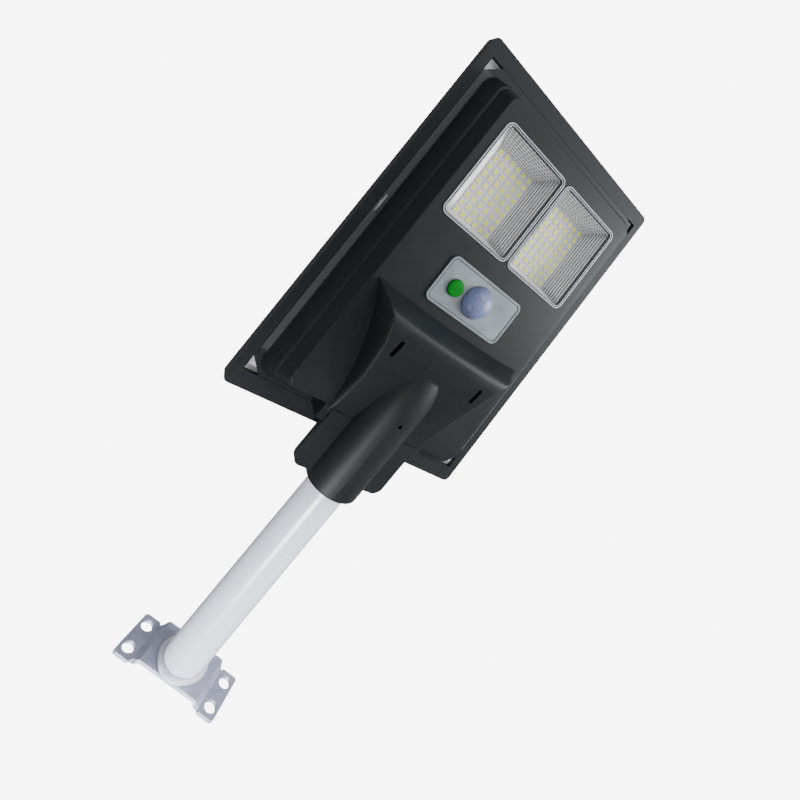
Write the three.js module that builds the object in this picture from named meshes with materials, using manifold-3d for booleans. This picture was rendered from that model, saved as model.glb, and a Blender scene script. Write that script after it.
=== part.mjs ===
// Solar street lamp on a wall arm: a flat lamp head with a solar panel on its back, two LED windows,
// a motion sensor and a push button on its face, clamped on a round steel tube with a foot plate.
// Millimetres. The wall is the plane y = 0, the tube runs out along -Y, and +Z is up.
// The head's own frame: x across, y from the arm end to the far end, z out of the lit face.
import * as THREE from 'three'
import { mergeVertices } from 'three/addons/utils/BufferGeometryUtils.js'
import Module from 'manifold-3d'

const wasm = await Module()
wasm.setup()

// ---------------------------------------------------------------- driving dimensions
const GAP = 0.3 // clearance between pieces that touch

const HEAD_LENGTH = 330
const HEAD_WIDTH = 234
const FRAME_DEPTH = 12 // rim thickness, from z = -12 to z = 0
const FRAME_SIDE_RIM = 8
const FRAME_END_RIM = 14
const PANEL_LIP = 3.5 // width of the rim left around the panel
const LEDGE_TOP = -4.5 // the panel rests on this level

const PANEL_GLASS = 3.2
const BACKSHEET = 1.5

const FLANGE = 2.2
const FLANGE_CHAMFER = 12
const FACE_Z = 24 // level of the lit face
const WALL = 2.6
const CORNER_STEPS = 6

const TUBE_RADIUS = 18
const TUBE_WALL = 1.6
const ARM_REACH = 230 // wall to the arm end of the head, along the tube
const TUBE_INSERT = 60 // how far the tube goes past the arm end of the head

const SLEEVE_RADIUS = 25
const SLEEVE_BORE = TUBE_RADIUS + GAP
const SLEEVE_AXIS_Z = 20.6 // height of the tube axis in the head, at its arm end
const SLEEVE_TILT = THREE.MathUtils.degToRad(3.4) // the head leans up from the tube by this much
const SLEEVE_END = -30
const WING_HALF = 43
const WING_END = -26
const WING_THICK = 4
const WING_CORNER = 8
const SOCKET_RADIUS = SLEEVE_BORE + 3
const SOCKET_END = 66

const FOOT_HALF_LENGTH = 48
const FOOT_HALF_WIDTH = 20
const FOOT_STEEL = 3
const FOOT_RISE = 6 // how far the middle of the plate stands off the wall
const FOOT_HOLE = { x: 40.5, z: 11.2, radius: 5.1 }
const FOOT_TURN = THREE.MathUtils.degToRad(29) // the plate is welded at this turn to the head

const WINDOW = { centreX: 38.3, centreY: 241.3, halfX: 37.4, halfY: 44.3, radius: 6.5 }
const LED_BOARD_Z = 4
const LED = { columns: 6, rows: 9, pitch: 7.4, x: 2.8, y: 3.5, height: 0.9 }
const LED_FIELD = { x: 38.4, y: 237.5 } // centre of one LED field

const SENSOR_PLATE = { halfX: 41.8, y0: 136.9, y1: 179.2, radius: 6, thick: 1.6 }
const BUTTON = { x: -23.5, y: 157, radius: 7.3, travel: 1 }
const DOME = { x: 1.5, y: 157.8, radius: 14.3, height: 9.5 }
const BOARD_Z = 10 // upper face of the control board

// ---------------------------------------------------------------- shape helpers
function toSolid(geometry) {
  const bare = geometry.clone()
  for (const name of Object.keys(bare.attributes)) {
    if (name !== 'position') bare.deleteAttribute(name)
  }
  const merged = mergeVertices(bare, 1e-4)
  const mesh = new wasm.Mesh({
    numProp: 3,
    vertProperties: new Float32Array(merged.attributes.position.array),
    triVerts: new Uint32Array(merged.index.array)
  })
  return new wasm.Manifold(mesh)
}

function toGeometry(solid) {
  const mesh = solid.asOriginal().simplify(0.004).getMesh()
  const geometry = new THREE.BufferGeometry()
  geometry.setAttribute('position', new THREE.BufferAttribute(new Float32Array(mesh.vertProperties), 3))
  geometry.setIndex(new THREE.BufferAttribute(new Uint32Array(mesh.triVerts), 1))
  geometry.computeVertexNormals()
  return geometry
}

function join(...solids) {
  return solids.reduce((sum, next) => sum.add(next))
}

function box(x0, x1, y0, y1, z0, z1) {
  const geometry = new THREE.BoxGeometry(x1 - x0, y1 - y0, z1 - z0)
  return toSolid(geometry.translate((x0 + x1) / 2, (y0 + y1) / 2, (z0 + z1) / 2))
}

function roundedRectangle(halfX, y0, y1, radius) {
  const shape = new THREE.Shape()
  shape.absarc(halfX - radius, y1 - radius, radius, 0, Math.PI / 2)
  shape.absarc(-halfX + radius, y1 - radius, radius, Math.PI / 2, Math.PI)
  shape.absarc(-halfX + radius, y0 + radius, radius, Math.PI, Math.PI * 1.5)
  shape.absarc(halfX - radius, y0 + radius, radius, Math.PI * 1.5, Math.PI * 2)
  shape.closePath()
  return shape
}

function plate(shape, z0, z1, steps = CORNER_STEPS) {
  const geometry = new THREE.ExtrudeGeometry(shape, {
    depth: z1 - z0, bevelEnabled: false, curveSegments: steps
  })
  return toSolid(geometry.translate(0, 0, z0))
}

function slab(centreX, halfX, y0, y1, radius, z0, z1) {
  return plate(roundedRectangle(halfX, y0, y1, radius), z0, z1).translate([centreX, 0, 0])
}

function rodZ(x, y, radius, z0, z1, sides = 24) {
  const geometry = new THREE.CylinderGeometry(radius, radius, z1 - z0, sides)
  return toSolid(geometry.rotateX(Math.PI / 2).translate(x, y, (z0 + z1) / 2))
}

function rodY(radius, y0, y1, sides = 40) {
  const geometry = new THREE.CylinderGeometry(radius, radius, y1 - y0, sides)
  return toSolid(geometry.translate(0, (y0 + y1) / 2, 0))
}

function turned(points, sides = 24) {
  return new THREE.LatheGeometry(points.map(([r, z]) => new THREE.Vector2(r, z)), sides)
}

// A closed skin through rings of points that all hold the same number of points. Each ring is a
// list of Vector3, seen counter-clockwise from the side of the last ring, and star-shaped.
function loft(rings) {
  const count = rings[0].length
  const positions = rings.flat().flatMap((p) => [p.x, p.y, p.z])
  const index = []
  for (let r = 0; r < rings.length - 1; r++) {
    for (let k = 0; k < count; k++) {
      const a = r * count + k
      const b = r * count + (k + 1) % count
      index.push(a, b, b + count, a, b + count, a + count)
    }
  }
  const cap = (ring, first, flip) => {
    const centre = ring.reduce((sum, p) => sum.add(p), new THREE.Vector3()).divideScalar(count)
    const middle = positions.length / 3
    positions.push(centre.x, centre.y, centre.z)
    for (let k = 0; k < count; k++) {
      const a = first + k
      const b = first + (k + 1) % count
      if (flip) index.push(middle, b, a)
      else index.push(middle, a, b)
    }
  }
  cap(rings[0], 0, true)
  cap(rings.at(-1), (rings.length - 1) * count, false)
  const geometry = new THREE.BufferGeometry()
  geometry.setAttribute('position', new THREE.Float32BufferAttribute(positions, 3))
  geometry.setIndex(index)
  return toSolid(geometry)
}

function ringAt(z, halfX, y0, y1, radius) {
  const outline = roundedRectangle(halfX, y0, y1, radius).getPoints(CORNER_STEPS)
  const last = outline.at(-1)
  if (last.distanceTo(outline[0]) < 1e-6) outline.pop()
  return outline.map((p) => new THREE.Vector3(p.x, p.y, z))
}

// Solids drawn along +Y are moved onto the sleeve axis, which leans up out of the head's plane.
function onSleeve(solid) {
  const degrees = THREE.MathUtils.radToDeg(SLEEVE_TILT)
  return solid.rotate([degrees, 0, 0]).translate([0, 0, SLEEVE_AXIS_Z])
}

// ---------------------------------------------------------------- scene graph
const group = new THREE.Group()
const arm = new THREE.Group()
const head = new THREE.Group()
group.add(arm, head)

head.rotation.x = Math.PI - SLEEVE_TILT
head.position.set(0, 0, -SLEEVE_AXIS_Z).applyEuler(head.rotation)
head.position.y -= ARM_REACH

const FINISH = {
  black_plastic: { color: 0x23282b, roughness: 0.55, metalness: 0 },
  grey_plate: { color: 0x9ba3a9, roughness: 0.45, metalness: 0.2 },
  painted_steel: { color: 0xb4b8cb, roughness: 0.35, metalness: 0.1 },
  plated_steel: { color: 0x9aa0b2, roughness: 0.4, metalness: 0.8 },
  screw_steel: { color: 0x8f9499, roughness: 0.35, metalness: 0.9 },
  reflector: { color: 0xe6e9ee, roughness: 0.12, metalness: 1 },
  clear_lens: { color: 0xe9f0f4, roughness: 0.06, metalness: 0 },
  white_board: { color: 0xe8eaea, roughness: 0.6, metalness: 0 },
  dome: { color: 0x8d97b4, roughness: 0.3, metalness: 0 },
  green_button: { color: 0x0a7a32, roughness: 0.4, metalness: 0 },
  panel_glass: { color: 0x101a33, roughness: 0.1, metalness: 0 },
  rubber: { color: 0x2c2c2e, roughness: 0.8, metalness: 0 },
  circuit_green: { color: 0x14532d, roughness: 0.5, metalness: 0 },
  cell_wrap: { color: 0x2b5ea8, roughness: 0.4, metalness: 0 },
  red_wire: { color: 0xb3201c, roughness: 0.5, metalness: 0 },
  black_wire: { color: 0x1a1a1a, roughness: 0.5, metalness: 0 }
}

function add(parent, name, shape, finish) {
  const geometry = shape.isBufferGeometry ? shape : toGeometry(shape)
  const mesh = new THREE.Mesh(geometry, new THREE.MeshStandardMaterial(FINISH[finish]))
  mesh.name = name
  parent.add(mesh)
  return mesh
}

// ---------------------------------------------------------------- foot plate and tube
// Pressed steel plate: two feet on the wall with two holes each, and a raised middle.
function footPlate() {
  const step = 26 // half length of the raised middle
  const slope = 5
  const profile = [
    [-FOOT_HALF_LENGTH, 0], [-step - slope, 0], [-step, -FOOT_RISE], [step, -FOOT_RISE],
    [step + slope, 0], [FOOT_HALF_LENGTH, 0], [FOOT_HALF_LENGTH, -FOOT_STEEL],
    [step + slope + 1.5, -FOOT_STEEL], [step + 1.5, -FOOT_RISE - FOOT_STEEL],
    [-step - 1.5, -FOOT_RISE - FOOT_STEEL], [-step - slope - 1.5, -FOOT_STEEL],
    [-FOOT_HALF_LENGTH, -FOOT_STEEL]
  ]
  const shape = new THREE.Shape(profile.map(([x, y]) => new THREE.Vector2(x, y)))
  let solid = plate(shape, -FOOT_HALF_WIDTH, FOOT_HALF_WIDTH)
  // The corners of the feet are rounded, and small notches relieve the bends.
  const outline = roundedRectangle(FOOT_HALF_LENGTH, -FOOT_HALF_WIDTH, FOOT_HALF_WIDTH, 3)
  const blank = new THREE.ExtrudeGeometry(outline, { depth: 30, bevelEnabled: false, curveSegments: 4 })
  solid = solid.intersect(toSolid(blank.rotateX(Math.PI / 2).translate(0, 10, 0)))
  for (const sx of [-1, 1]) {
    for (const sz of [-1, 1]) {
      const hole = new THREE.CylinderGeometry(FOOT_HOLE.radius, FOOT_HOLE.radius, 20, 24)
      solid = solid.subtract(toSolid(hole.translate(sx * FOOT_HOLE.x, 0, sz * FOOT_HOLE.z)))
      const notch = new THREE.CylinderGeometry(2.2, 2.2, 40, 12)
      const notchX = sx * (step + slope + 0.5)
      solid = solid.subtract(toSolid(notch.translate(notchX, 0, sz * FOOT_HALF_WIDTH)))
    }
  }
  return solid
}

const foot = new THREE.Group()
foot.rotation.y = FOOT_TURN
arm.add(foot)
add(foot, 'foot_plate', footPlate(), 'plated_steel')

const tubeStart = -(FOOT_RISE + FOOT_STEEL + GAP)
const tubeEnd = -(ARM_REACH + TUBE_INSERT)
const tubeProfile = [
  [TUBE_RADIUS - TUBE_WALL, tubeEnd], [TUBE_RADIUS, tubeEnd], [TUBE_RADIUS, tubeStart],
  [TUBE_RADIUS - TUBE_WALL, tubeStart], [TUBE_RADIUS - TUBE_WALL, tubeEnd]
]
add(arm, 'arm_tube', turned(tubeProfile, 48), 'painted_steel')

// Fillet weld all round the tube's foot.
const beadInner = TUBE_RADIUS + GAP
const beadProfile = [
  [beadInner, tubeStart - 3.6], [beadInner + 1.6, tubeStart - 2.6], [beadInner + 2.8, tubeStart - 1.2],
  [beadInner + 3.2, tubeStart], [beadInner, tubeStart], [beadInner, tubeStart - 3.6]
]
add(arm, 'weld_bead', turned(beadProfile, 40), 'plated_steel')

// ---------------------------------------------------------------- upper frame with half sleeve
const halfWidth = HEAD_WIDTH / 2
const openHalf = halfWidth - FRAME_SIDE_RIM

function sleeveHalf(outerY0, outerY1, upper) {
  const wings = slab(0, WING_HALF, WING_END, outerY1 + 8, WING_CORNER, -WING_THICK, WING_THICK)
  let solid = join(rodY(SLEEVE_RADIUS, outerY0, outerY1), wings)
  solid = solid.subtract(box(-60, 60, outerY1, outerY1 + 60, -60, 60))
  const away = upper ? box(-90, 90, -90, 190, -GAP / 2, 90) : box(-90, 90, -90, 190, -90, GAP / 2)
  return solid.subtract(away)
}

// Ears of the lower shell reach over the frame's ledge, and a countersunk screw holds each.
const EAR = { inner: 104.7, outer: 112.9, halfY: 6, screwX: 111.1, stations: [45, 125, 205, 285] }
const EAR_SCREW = { radius: 0.9, head: 1.7, headHeight: 1.0 }
const earPlaces = [-1, 1].flatMap((side) => EAR.stations.map((y) => ({ side, x: side * EAR.screwX, y })))
const CLAMP_SCREW = { radius: 1.5, head: 3.2, headHeight: 2.3 }
const clampPlaces = [-1, 1].flatMap((side) => [-17, -6].map((y) => ({ x: side * 35, y })))

function sideBox(side, x0, x1, y0, y1, z0, z1) {
  return side > 0 ? box(x0, x1, y0, y1, z0, z1) : box(-x1, -x0, y0, y1, z0, z1)
}

function topFrame() {
  let solid = slab(0, halfWidth, 0, HEAD_LENGTH, 5, -FRAME_DEPTH, 0)
  const open = slab(0, openHalf, FRAME_END_RIM, HEAD_LENGTH - FRAME_END_RIM, 1, -20, 5)
  const recess = slab(0, halfWidth - PANEL_LIP, PANEL_LIP, HEAD_LENGTH - PANEL_LIP, 3, -20, LEDGE_TOP)
  solid = solid.subtract(open).subtract(recess)
  const upperHalf = onSleeve(sleeveHalf(SLEEVE_END, FRAME_END_RIM + 4, true))
  solid = solid.add(upperHalf.intersect(box(-60, 60, -60, FRAME_END_RIM, -60, 60)))
  solid = solid.subtract(onSleeve(rodY(SLEEVE_BORE, -60, 60, 48)))
  solid = solid.subtract(recess)
  // Pockets in the ledge take the ears of the lower shell, each with a screw hole.
  for (const { side, x, y } of earPlaces) {
    const reach = EAR.halfY + GAP
    solid = solid.subtract(sideBox(side, 100, EAR.outer + GAP / 2, y - reach, y + reach, -20, -FLANGE))
    solid = solid.subtract(rodZ(x, y, EAR_SCREW.radius + 0.2, -6, -0.8, 12))
  }
  for (const { x, y } of clampPlaces) {
    solid = solid.subtract(onSleeve(rodZ(x, y, CLAMP_SCREW.radius + 0.8, -20, 5, 16)))
  }
  return solid
}
add(head, 'top_frame', topFrame(), 'black_plastic')

// ---------------------------------------------------------------- solar panel
const panelHalf = halfWidth - PANEL_LIP - GAP
const panelY0 = PANEL_LIP + GAP
const panelY1 = HEAD_LENGTH - PANEL_LIP - GAP
const backTop = LEDGE_TOP - GAP
const glassLow = backTop - BACKSHEET - GAP
add(head, 'solar_backsheet', slab(0, panelHalf, panelY0, panelY1, 2.7, backTop - BACKSHEET, backTop), 'white_board')
add(head, 'solar_glass', slab(0, panelHalf, panelY0, panelY1, 2.7, glassLow - PANEL_GLASS, glassLow), 'panel_glass')

// ---------------------------------------------------------------- lower shell
// The body narrows in two slanted steps with a thin ledge between them.
const BODY = {
  base: [103.5, 18, 308.5, 13],
  ledgeOuter: [95.2, 24, 305, 10],
  ledgeInner: [92.4, 25, 304, 9],
  face: [84.5, 28, 301, 7]
}
const LEDGE_Z = 14

function shrink([halfX, y0, y1, radius], by) {
  return [halfX - by, y0 + by, y1 - by, Math.max(radius - by, 1.5)]
}

function bodyOuter() {
  return loft([
    ringAt(-1, ...BODY.base),
    ringAt(0, ...BODY.base),
    ringAt(LEDGE_Z - 0.6, ...shrink(BODY.ledgeOuter, -0.35)),
    ringAt(LEDGE_Z, ...shrink(BODY.ledgeOuter, 0.3)),
    ringAt(LEDGE_Z, ...BODY.ledgeInner),
    ringAt(FACE_Z - 1.0, ...shrink(BODY.face, -0.8)),
    ringAt(FACE_Z - 0.3, ...shrink(BODY.face, -0.1)),
    ringAt(FACE_Z, ...shrink(BODY.face, 0.7))
  ])
}

function bodyInner() {
  return loft([
    ringAt(-10, ...shrink(BODY.base, WALL)),
    ringAt(-0.5, ...shrink(BODY.base, WALL)),
    ringAt(LEDGE_Z - 2, ...shrink(BODY.ledgeInner, WALL - 1)),
    ringAt(FACE_Z - WALL, ...shrink(BODY.face, WALL - 1))
  ])
}

// The saddle over the tube: a funnel that is wide and tall at its front and runs out to nothing at
// the arm end. Each station is [y, half width at the face, half width on top, height of the top].
const SADDLE_STATIONS = [
  [22, 48, 46.5, 24.3], [35, 48.3, 46.5, 28.5], [48, 49.5, 47.2, 33.3], [62, 52, 48.5, 38.5],
  [78, 56.4, 51.5, 43.5], [95, 62.5, 55.5, 47.5], [106, 67.5, 59.5, 49.2], [112, 70.7, 62, 49.6],
  [116, 73, 64.2, 49], [119, 74.8, 66.6, 47.2], [121.5, 76.2, 69.5, 43], [125.5, 78.5, 74.5, 34],
  [129, 80.8, 79.8, 26], [130, 81.5, 81.2, 23.6]
]
const SADDLE_SAG = 2.5 // how far the middle of the front stands back from its ends
const SADDLE_ROUND = 3.5
const SADDLE_ACROSS = 10

function saddle(inset) {
  const rings = SADDLE_STATIONS.map(([y, baseHalf, topHalf, top]) => {
    const low = FACE_Z - WALL - (inset ? 1 : 0)
    const peak = Math.max(top - inset, low + 0.4)
    const rounding = Math.min(SADDLE_ROUND, (peak - low) * 0.5)
    const side = []
    side.push([baseHalf - inset, low])
    side.push([topHalf - inset + rounding * 0.15, peak - rounding])
    side.push([topHalf - inset - rounding * 0.3, peak - rounding * 0.3])
    side.push([topHalf - inset - rounding, peak])
    const crown = []
    for (let k = 1; k < SADDLE_ACROSS; k++) {
      const t = 1 - (2 * k) / SADDLE_ACROSS
      crown.push([t * (topHalf - inset - rounding), peak])
    }
    const mirror = side.map(([x, z]) => [-x, z]).reverse()
    const sag = SADDLE_SAG * THREE.MathUtils.smoothstep(y, 78, 130)
    const place = ([x, z]) => {
      const across = Math.min(Math.abs(x) / baseHalf, 1)
      const back = sag * (1 - across * across)
      return new THREE.Vector3(x, y - back - inset * THREE.MathUtils.smoothstep(y, 60, 120), z)
    }
    return [...side, ...crown, ...mirror].map(place).reverse()
  })
  return loft(rings)
}

const flangeHalf = openHalf - GAP
const flangeY0 = FRAME_END_RIM + GAP
const flangeY1 = HEAD_LENGTH - FRAME_END_RIM - GAP

function flangeSlab() {
  const c = FLANGE_CHAMFER
  const outline = [
    [flangeHalf - c, flangeY0], [flangeHalf, flangeY0 + c],
    [flangeHalf, flangeY1 - c], [flangeHalf - c, flangeY1],
    [-flangeHalf + c, flangeY1], [-flangeHalf, flangeY1 - c],
    [-flangeHalf, flangeY0 + c], [-flangeHalf + c, flangeY0]
  ]
  const shape = new THREE.Shape(outline.map(([x, y]) => new THREE.Vector2(x, y)))
  return plate(shape, -FLANGE, 0)
}

const BULGE_END = 56 // where the bulge over the tube starts to run out
const BULGE_STRETCH = 2.5 // how much longer than a sphere its end is
const HEAT_PLATE = { halfX: 83, y0: 198, y1: 282, z0: 0.5, z1: 2.1 }
const HEAT_BOSSES = [-1, 1].flatMap((side) => [205, 275].map((y) => ({ x: side * 78.5, y })))
const BOARD = { halfX: 56, y0: 137, y1: 179, thick: 1.6 }
const BOARD_BOSSES = [-1, 1].flatMap((side) => [142, 174].map((y) => ({ x: side * 51, y })))
const BOSS = { radius: 3.6, bore: 1.6, screw: 1.3, head: 2.6, headHeight: 1.8 }

function earOn(side, y) {
  const reach = EAR.halfY
  const tab = sideBox(side, EAR.inner, EAR.outer, y - reach, y + reach, LEDGE_TOP + 0.1, -FLANGE - GAP)
  const root = sideBox(side, EAR.inner, flangeHalf, y - reach, y + reach, LEDGE_TOP + 0.1, -FLANGE + 0.5)
  return tab.add(root)
}

function lowerShell() {
  const round = new THREE.SphereGeometry(SLEEVE_RADIUS, 32, 18).scale(1, BULGE_STRETCH, 1)
  const bulge = onSleeve(join(rodY(SLEEVE_RADIUS, 10, BULGE_END), toSolid(round.translate(0, BULGE_END, 0))))
  const bulgeOutside = bulge.intersect(box(-60, 60, 20, 120, FACE_Z - WALL, 90))
  const collarEnd = 34
  const collar = box(-50, 50, flangeY0, collarEnd, -1, FACE_Z)
  const hollow = join(bodyInner(), saddle(WALL)).subtract(box(-52, 52, flangeY0, collarEnd, -20, 90))
  let solid = join(flangeSlab(), bodyOuter(), saddle(0), bulgeOutside, collar).subtract(hollow)
  // Posts for the screws of the two inner plates.
  for (const { x, y } of HEAT_BOSSES) solid = solid.add(rodZ(x, y, BOSS.radius, HEAT_PLATE.z1 + GAP, FACE_Z - 1, 16))
  for (const { x, y } of BOARD_BOSSES) solid = solid.add(rodZ(x, y, BOSS.radius, BOARD_Z + GAP, FACE_Z - 1, 16))
  for (const { x, y } of HEAT_BOSSES) solid = solid.subtract(rodZ(x, y, BOSS.bore, -5, 14, 12))
  for (const { x, y } of BOARD_BOSSES) solid = solid.subtract(rodZ(x, y, BOSS.bore, -5, 19, 12))
  // Socket for the tube, closed at its inner end, and the lower half sleeve outside the body.
  solid = solid.add(onSleeve(rodY(SOCKET_RADIUS, collarEnd - 4, SOCKET_END)))
  solid = solid.add(onSleeve(sleeveHalf(SLEEVE_END, flangeY0 + 12, false)))
  solid = solid.subtract(onSleeve(rodY(SLEEVE_BORE, -60, SOCKET_END - 3, 48)))
  for (const side of [-1, 1]) {
    solid = solid.subtract(windowOpening(side))
    solid = solid.subtract(sideBox(side, 104.4, 107.4, 165.5, 181.5, -20, 5))
    solid = solid.subtract(slab(side * 43, 1.8, 88, 103, 1.7, 30, 90))
  }
  solid = solid.subtract(sensorOpenings())
  for (const { side, x, y } of earPlaces) {
    const headZ = LEDGE_TOP + EAR_SCREW.headHeight + 0.5
    solid = solid.add(earOn(side, y))
    solid = solid.subtract(rodZ(x, y, EAR_SCREW.radius + 0.3, -9, -2, 12))
    solid = solid.subtract(rodZ(x, y, EAR_SCREW.head + 0.2, -9, headZ, 16))
  }
  for (const { x, y } of clampPlaces) {
    solid = solid.subtract(onSleeve(rodZ(x, y, CLAMP_SCREW.radius + 0.2, -6, WING_THICK - 1.2, 16)))
  }
  // Pilot hole for a screw that can pin the tube.
  return solid.subtract(rodZ(1.5, 45, 1.7, 30, 90, 16))
}

function windowOpening(side) {
  const { centreX, centreY, halfX, halfY, radius } = WINDOW
  const lip = 2.6
  const x = side * centreX
  const rebate = slab(x, halfX + GAP, centreY - halfY - GAP, centreY + halfY + GAP, radius, FACE_Z - 1.7, 60)
  const through = slab(x, halfX - lip, centreY - halfY + lip, centreY + halfY - lip, radius - lip, 0, 60)
  return rebate.add(through)
}

function sensorOpenings() {
  const { halfX, y0, y1, radius } = SENSOR_PLATE
  const seat = slab(0, halfX + GAP, y0 - GAP, y1 + GAP, radius, FACE_Z - 0.6, 60)
  const buttonHole = rodZ(BUTTON.x, BUTTON.y, BUTTON.radius + 0.5, 0, 60)
  const domeHole = rodZ(DOME.x, DOME.y, DOME.radius - 1.2, 0, 60, 32)
  return join(seat, buttonHole, domeHole)
}
add(head, 'lower_shell', lowerShell(), 'black_plastic')

// ---------------------------------------------------------------- screws and seal of the shell
function countersunk(radius, headRadius, headHeight, length) {
  return turned([[0, 0], [headRadius, 0], [headRadius, 0.4], [radius, headHeight], [radius, length], [0, length]], 16)
}

function panHead(radius, headRadius, headHeight, length) {
  return turned([
    [0, -headHeight], [headRadius * 0.7, -headHeight], [headRadius, -headHeight * 0.55],
    [headRadius, 0], [radius, 0], [radius, length], [0, length]
  ], 16)
}

// Screws are turned along +Y and point along +Z of the head once placed.
function placeScrew(parent, name, geometry, x, y, z) {
  geometry.rotateX(Math.PI / 2)
  geometry.translate(x, y, z)
  add(parent, name, toSolid(geometry), 'screw_steel')
}

earPlaces.forEach(({ x, y }, i) => {
  const screw = countersunk(EAR_SCREW.radius, EAR_SCREW.head, EAR_SCREW.headHeight, 3.1)
  placeScrew(head, `shell_screw_${i + 1}`, screw, x, y, LEDGE_TOP + 0.3)
})

const sealHalf = 103.9
const sealWidth = 2.4
const seal = slab(0, sealHalf, 16.8, 311.4, 12, LEDGE_TOP + 0.1, -FLANGE - GAP)
const sealInside = slab(0, sealHalf - sealWidth, 16.8 + sealWidth, 311.4 - sealWidth, 10, -20, 5)
add(head, 'shell_seal', seal.subtract(sealInside), 'rubber')

const clampGroup = new THREE.Group()
clampGroup.rotation.x = SLEEVE_TILT
clampGroup.position.z = SLEEVE_AXIS_Z
head.add(clampGroup)
clampPlaces.forEach(({ x, y }, i) => {
  const screw = panHead(CLAMP_SCREW.radius, CLAMP_SCREW.head, CLAMP_SCREW.headHeight, 6.5)
  placeScrew(clampGroup, `clamp_screw_${i + 1}`, screw, x, y, -WING_THICK - GAP)
})

// ---------------------------------------------------------------- LED windows
function reflector(side) {
  const wall = 1.2
  const lowX = side * LED_FIELD.x
  const highX = side * WINDOW.centreX
  const low = { z: LED_BOARD_Z + GAP, halfX: 23, halfY: 33 }
  const high = { z: FACE_Z - WALL - GAP, halfX: 34.8, halfY: 41.7 }
  const ring = (end, centreX, centreY, grow, z) => ringAt(z, end.halfX + grow, centreY - end.halfY - grow,
    centreY + end.halfY + grow, 3 + grow).map((p) => p.setX(p.x + centreX))
  const outer = loft([
    ring(low, lowX, LED_FIELD.y, wall, low.z), ring(high, highX, WINDOW.centreY, wall, high.z)
  ])
  const inner = loft([
    ring(low, lowX, LED_FIELD.y, -0.05, low.z - 0.1), ring(high, highX, WINDOW.centreY, 0.05, high.z + 0.1)
  ])
  return outer.subtract(inner)
}

function ledBoard(side) {
  const halfX = 29
  const halfY = 38
  const x = side * LED_FIELD.x
  let solid = box(x - halfX, x + halfX, LED_FIELD.y - halfY, LED_FIELD.y + halfY, LED_BOARD_Z - 1.6, LED_BOARD_Z)
  for (let column = 0; column < LED.columns; column++) {
    for (let row = 0; row < LED.rows; row++) {
      const cx = x + (column - (LED.columns - 1) / 2) * LED.pitch
      const cy = LED_FIELD.y + (row - (LED.rows - 1) / 2) * LED.pitch
      const top = LED_BOARD_Z + LED.height
      solid = solid.add(box(cx - LED.x / 2, cx + LED.x / 2, cy - LED.y / 2, cy + LED.y / 2, LED_BOARD_Z - 0.5, top))
    }
  }
  return solid
}

for (const [side, word] of [[-1, 'left'], [1, 'right']]) {
  const x = side * WINDOW.centreX
  const { centreY, halfX, halfY, radius } = WINDOW
  const lens = slab(x, halfX, centreY - halfY, centreY + halfY, radius, FACE_Z - 1.4, FACE_Z + 0.9)
  add(head, `lens_${word}`, lens, 'clear_lens')
  add(head, `reflector_${word}`, reflector(side), 'reflector')
  add(head, `led_board_${word}`, ledBoard(side), 'white_board')
}

const { halfX: heatHalf, y0: heatY0, y1: heatY1, z0: heatZ0, z1: heatZ1 } = HEAT_PLATE
let heatPlate = box(-heatHalf, heatHalf, heatY0, heatY1, heatZ0, heatZ1)
for (const { x, y } of HEAT_BOSSES) heatPlate = heatPlate.subtract(rodZ(x, y, BOSS.bore, -5, 10, 12))
add(head, 'led_back_plate', heatPlate, 'screw_steel')
HEAT_BOSSES.forEach(({ x, y }, i) => {
  const screw = panHead(BOSS.screw, BOSS.head, BOSS.headHeight, 11)
  placeScrew(head, `back_plate_screw_${i + 1}`, screw, x, y, heatZ0 - GAP)
})

// ---------------------------------------------------------------- sensor plate, dome and button
const seatZ = FACE_Z - 0.6 + GAP
const plateTop = seatZ + SENSOR_PLATE.thick

function sensorPlate() {
  const { halfX, y0, y1, radius } = SENSOR_PLATE
  const rim = 1.6
  const body = slab(0, halfX, y0, y1, radius, seatZ, plateTop)
  const dish = slab(0, halfX - rim, y0 + rim, y1 - rim, radius - rim, plateTop - 0.5, 60)
  const buttonHole = rodZ(BUTTON.x, BUTTON.y, BUTTON.radius + GAP, 0, 60)
  const domeHole = rodZ(DOME.x, DOME.y, DOME.radius + GAP, 0, 60, 32)
  return body.subtract(dish).subtract(buttonHole).subtract(domeHole)
}
add(head, 'sensor_plate', sensorPlate(), 'grey_plate')

// Motion sensor lens: a thin dome with a skirt that clips into the shell.
function domeLens() {
  const wall = 1
  const profile = []
  const steps = 6
  const shoulder = plateTop - 0.4
  for (let k = 0; k <= steps; k++) {
    const angle = (k / steps) * Math.PI / 2
    profile.push([DOME.radius * Math.cos(angle), shoulder + DOME.height * Math.sin(angle)])
  }
  for (let k = steps; k >= 0; k--) {
    const angle = (k / steps) * Math.PI / 2
    profile.push([(DOME.radius - wall - 1.4) * Math.cos(angle), shoulder + (DOME.height - wall) * Math.sin(angle)])
  }
  profile.push([DOME.radius - 2.4, 16.5], [DOME.radius - 1.6, 16.5], [DOME.radius - 1.6, seatZ])
  profile.push([DOME.radius, seatZ], [DOME.radius, shoulder])
  const points = profile.map(([r, z]) => new THREE.Vector2(Math.max(r, 0), z))
  const lathe = new THREE.LatheGeometry(points, 28)
  return toSolid(lathe.rotateX(Math.PI / 2).translate(DOME.x, DOME.y, 0))
}
add(head, 'sensor_dome', domeLens(), 'dome')
add(head, 'sensor_can', rodZ(DOME.x, DOME.y, 4.6, BOARD_Z + GAP, BOARD_Z + 4.4, 24), 'screw_steel')

const switchBody = box(BUTTON.x - 3, BUTTON.x + 3, BUTTON.y - 3, BUTTON.y + 3, BOARD_Z + GAP, BOARD_Z + 3.8)
const switchTop = BOARD_Z + 4.6
const switchPost = rodZ(BUTTON.x, BUTTON.y, 1.7, BOARD_Z + 3, switchTop, 16)
add(head, 'push_switch', switchBody.add(switchPost), 'rubber')

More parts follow.
